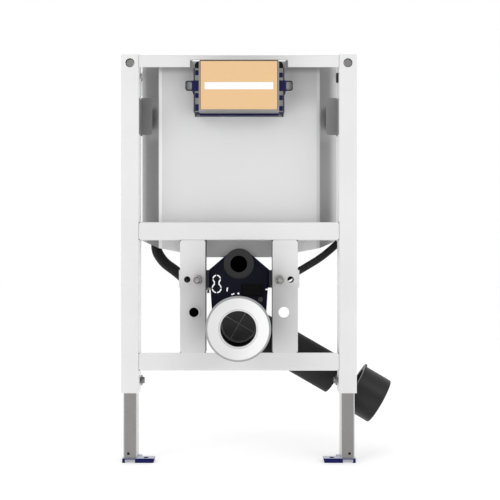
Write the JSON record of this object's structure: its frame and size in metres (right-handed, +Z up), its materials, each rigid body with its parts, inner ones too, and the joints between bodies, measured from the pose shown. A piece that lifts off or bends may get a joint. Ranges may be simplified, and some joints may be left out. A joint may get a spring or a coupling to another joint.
{
  "type": "wall hung toilet frame",
  "caption": "White steel frame with telescopic legs, slim cistern with access shaft, flush outlet, waste bend and studs that carry a wall hung toilet pan.",
  "frame": {"origin": "on the wall face of the left wall plate, at its screw hole", "axes": "+Z up, +Y into the wall, +X to the right as seen from the room"},
  "size_m": [0.6172, 0.28, 0.909],
  "materials": {
    "bracket_metal": "satin",
    "bracket_plastic": "satin",
    "clip_plastic": "satin",
    "conduit_plastic": "satin",
    "cover_board": "matte",
    "cover_label": "matte",
    "foot_coat": "satin",
    "frame_coat": "satin",
    "grommet_plastic": "satin",
    "hose_rubber": "satin",
    "leg_steel": "satin",
    "pipe_plastic": "satin",
    "rack_plastic": "satin",
    "ring_plastic": "satin",
    "seal_rubber": "matte",
    "shaft_plastic": "satin",
    "tank_plastic": "matte",
    "zinc": "satin"
  },
  "bodies": {
    "frame": {"access_cover": "cover_board", "access_shaft": "shaft_plastic", "bracket_bolt": "zinc", "bracket_nut": "zinc", "cistern": "tank_plastic", "conduit": "conduit_plastic", "conduit_grommet": "grommet_plastic", "cover_stripe": "cover_label", "crossbar": "frame_coat", "flush_pipe": "pipe_plastic", "flush_seal": "seal_rubber", "hose_clip": "clip_plastic", "left_anchor_rod": "zinc", "left_cap": "clip_plastic", "left_clamp_bolt": "zinc", "left_clip": "clip_plastic", "left_ear": "shaft_plastic", "left_pan_plate": "frame_coat", "left_pan_stud": "zinc", "left_rack": "rack_plastic", "left_side_bracket": "bracket_metal", "left_upright": "frame_coat", "left_wall_plate": "zinc", "lower_rail": "frame_coat", "middle_rail": "frame_coat", "right_anchor_rod": "zinc", "right_cap": "clip_plastic", "right_clamp_bolt": "zinc", "right_clip": "clip_plastic", "right_ear": "shaft_plastic", "right_pan_plate": "frame_coat", "right_pan_stud": "zinc", "right_rack": "rack_plastic", "right_side_bracket": "bracket_metal", "right_upright": "frame_coat", "right_wall_plate": "zinc", "shaft_sill": "rack_plastic", "supply_hose": "hose_rubber", "top_rail": "frame_coat", "waste_adapter": "pipe_plastic", "waste_bend": "pipe_plastic", "waste_bracket": "bracket_plastic", "waste_plug": "pipe_plastic", "waste_ring": "ring_plastic"},
    "left_leg_unit": {"left_leg": "leg_steel", "left_foot": "foot_coat"},
    "right_leg_unit": {"right_leg": "leg_steel", "right_foot": "foot_coat"}
  },
  "joints": [
    {"name": "left_leg_slide", "type": "slide", "parent": "frame", "child": "left_leg_unit", "axis": [0, 0, -1], "range_m": [-0.09, 0.11]},
    {"name": "right_leg_slide", "type": "slide", "parent": "frame", "child": "right_leg_unit", "axis": [0, 0, -1], "range_m": [-0.09, 0.11]}
  ]
}
